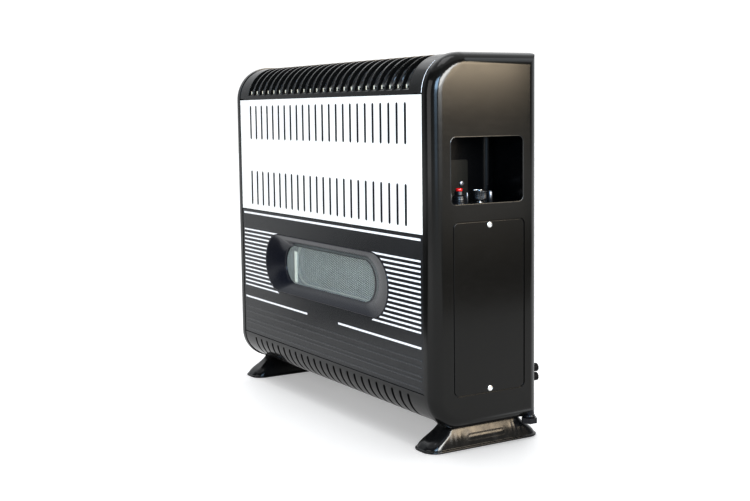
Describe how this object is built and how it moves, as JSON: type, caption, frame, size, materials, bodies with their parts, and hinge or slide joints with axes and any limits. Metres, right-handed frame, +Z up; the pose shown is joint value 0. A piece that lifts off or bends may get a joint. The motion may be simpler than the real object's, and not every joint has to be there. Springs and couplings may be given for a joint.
{
  "type": "gas convector heater",
  "caption": "Flued gas convector heater with slotted panels, curved grilles, rounded cheeks, viewing window, side control niche and feet.",
  "frame": {"origin": "centre of the plan on the floor, under the two feet, at the middle of the overall depth with the flue spigot", "axes": "+X to the right seen from the front, +Y to the wall behind, +Z up; the front panels face -Y"},
  "size_m": [0.8045, 0.262, 0.696],
  "materials": {
    "black_enamel": "gloss black baked enamel on pressed steel sheet",
    "dark_panel": "dark slate-grey semi-gloss enamel",
    "cream_panel": "off-white satin enamel",
    "galvanised_sheet": "galvanised sheet, faint spangle",
    "bright_steel": "zinc-plated fasteners",
    "guard_steel": "pressed steel mesh, dull",
    "foot_black": "moulded gloss black",
    "firebox_enamel": "heat-proof dark grey enamel",
    "heat_glass": "ceramic glass, slightly smoked",
    "fibre_seal": "woven glass-fibre seal",
    "refractory": "white ceramic",
    "burner_steel": "stainless steel, brushed",
    "brass_fitting": "machined brass",
    "copper_tube": "drawn copper tube",
    "lead_red": "silicone rubber lead",
    "valve_alloy": "die-cast alloy",
    "knob_black": "moulded black",
    "nut_black": "blackened steel",
    "button_red": "moulded red",
    "spacer_rubber": "black rubber buffer"
  },
  "bodies": {
    "heater": {"left_cheek": "black_enamel", "right_cheek": "black_enamel", "access_cover": "black_enamel", "dome_screws": "bright_steel", "control_pocket": "black_enamel", "pocket_plate": "dark_panel", "upper_front_panel": "cream_panel", "lower_front_panel": "dark_panel", "window_bezel": "black_enamel", "window_guard": "guard_steel", "top_grille": "black_enamel", "bottom_grille": "black_enamel", "rear_panel": "galvanised_sheet", "left_side_plate": "galvanised_sheet", "right_side_plate": "galvanised_sheet", "top_rail": "firebox_enamel", "middle_rail": "firebox_enamel", "lower_rail": "firebox_enamel", "front_base_rail": "galvanised_sheet", "rear_base_rail": "galvanised_sheet", "casing_screws": "bright_steel", "left_foot": "foot_black", "right_foot": "foot_black", "foot_bolts": "bright_steel", "foot_nuts": "bright_steel", "firebox_front": "firebox_enamel", "firebox_rear": "firebox_enamel", "firebox_brackets": "galvanised_sheet", "glass_frame": "firebox_enamel", "window_glass": "heat_glass", "glass_gasket": "fibre_seal", "glass_screws": "bright_steel", "refractory_board": "refractory", "exhaust_baffle": "firebox_enamel", "burner_tube": "burner_steel", "burner_support": "galvanised_sheet", "burner_flange": "galvanised_sheet", "injector": "brass_fitting", "pilot_burner": "burner_steel", "thermocouple": "copper_tube", "ignition_electrode": "refractory", "ignition_lead": "lead_red", "air_duct": "galvanised_sheet", "flue_inner_pipe": "burner_steel", "flue_outer_pipe": "galvanised_sheet", "flue_seal": "fibre_seal", "heat_shield": "galvanised_sheet", "top_deflector": "galvanised_sheet", "gas_valve": "valve_alloy", "control_nuts": "bright_steel", "burner_pipe": "copper_tube", "pilot_pipe": "copper_tube", "thermostat_sensor": "copper_tube", "inlet_pipe": "brass_fitting", "union_nut": "nut_black", "igniter_body": "knob_black", "wall_spacers": "spacer_rubber"},
    "spindle": {"valve_spindle": "bright_steel"},
    "knob": {"gas_knob": "knob_black"},
    "button": {"igniter_button": "button_red"}
  },
  "joints": [
    {"name": "knob_turn", "type": "hinge", "parent": "heater", "child": "spindle", "pos_m": [0.35, 0.0036, 0.43], "axis": [0, 0, 1], "range_deg": [0, 270]},
    {"name": "knob_push", "type": "slide", "parent": "spindle", "child": "knob", "axis": [0, 0, -1], "range_m": [0, 0.004], "stiffness_N_per_m": 600, "springref_m": -0.002},
    {"name": "igniter_push", "type": "slide", "parent": "heater", "child": "button", "axis": [0, 0, -1], "range_m": [0, 0.004], "stiffness_N_per_m": 800, "springref_m": -0.002}
  ]
}
